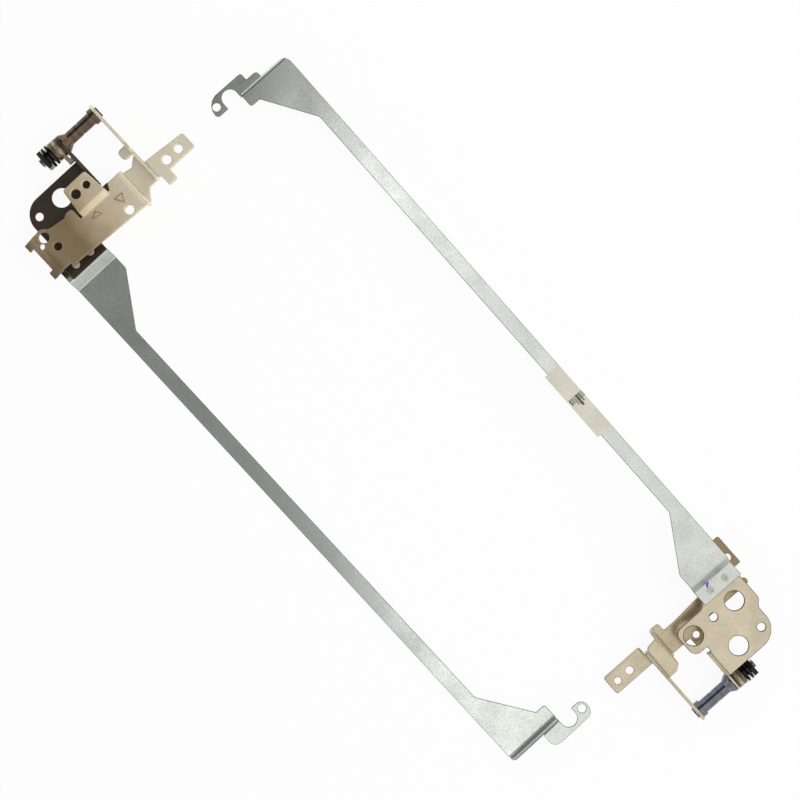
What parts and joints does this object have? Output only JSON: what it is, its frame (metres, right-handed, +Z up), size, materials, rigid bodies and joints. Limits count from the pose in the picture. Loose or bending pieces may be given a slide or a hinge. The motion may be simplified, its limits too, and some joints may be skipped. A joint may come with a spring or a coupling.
{
  "type": "laptop hinge pair",
  "caption": "Left and right laptop display hinges: folded steel brackets joined by a friction shaft with stacked disc springs, each with a long display arm that ends in a hooked ear.",
  "frame": {"origin": "centre of the footprint, on the table the pair lies on", "axes": "+X along the arm of the left hinge, from its shaft towards its hooked ear; +Y from the left hinge to the right one; +Z up from the table"},
  "size_m": [0.2648, 0.0976, 0.0134],
  "materials": {
    "bracket_steel": "satin champagne plating",
    "arm_steel": "matt galvanised",
    "rivet_steel": "satin",
    "shaft_steel": "blackened and oiled",
    "washer_steel": "oiled, bronze tint",
    "spring_steel": "blackened",
    "label_paper": "matt"
  },
  "bodies": {
    "resting halves": {"left_arm": "arm_steel", "left_arm_rivets": "rivet_steel", "left_display_bracket": "bracket_steel", "left_friction_washer": "washer_steel", "right_base_bracket": "bracket_steel", "right_shaft": "shaft_steel", "right_seat_washer": "washer_steel", "right_pressure_washer": "washer_steel", "right_disc_spring_1": "spring_steel", "right_disc_spring_2": "spring_steel", "right_disc_spring_3": "spring_steel", "right_disc_spring_4": "spring_steel", "right_nut": "spring_steel"},
    "left base side": {"left_base_bracket": "bracket_steel", "left_shaft": "shaft_steel", "left_seat_washer": "washer_steel", "left_pressure_washer": "washer_steel", "left_disc_spring_1": "spring_steel", "left_disc_spring_2": "spring_steel", "left_disc_spring_3": "spring_steel", "left_disc_spring_4": "spring_steel", "left_nut": "spring_steel"},
    "right display side": {"right_arm": "arm_steel", "right_arm_rivets": "rivet_steel", "right_display_bracket": "bracket_steel", "right_friction_washer": "washer_steel", "right_label": "label_paper"}
  },
  "joints": [
    {"name": "left_hinge", "type": "hinge", "parent": "resting halves", "child": "left base side", "pos_m": [-0.12896, -0.01239, 0.0091], "axis": [0, -1, 0], "range_deg": [0, 135]},
    {"name": "right_hinge", "type": "hinge", "parent": "resting halves", "child": "right display side", "pos_m": [0.12863, 0.01206, 0.00442], "axis": [0.025, 0.9997, 0], "range_deg": [0, 135]}
  ]
}
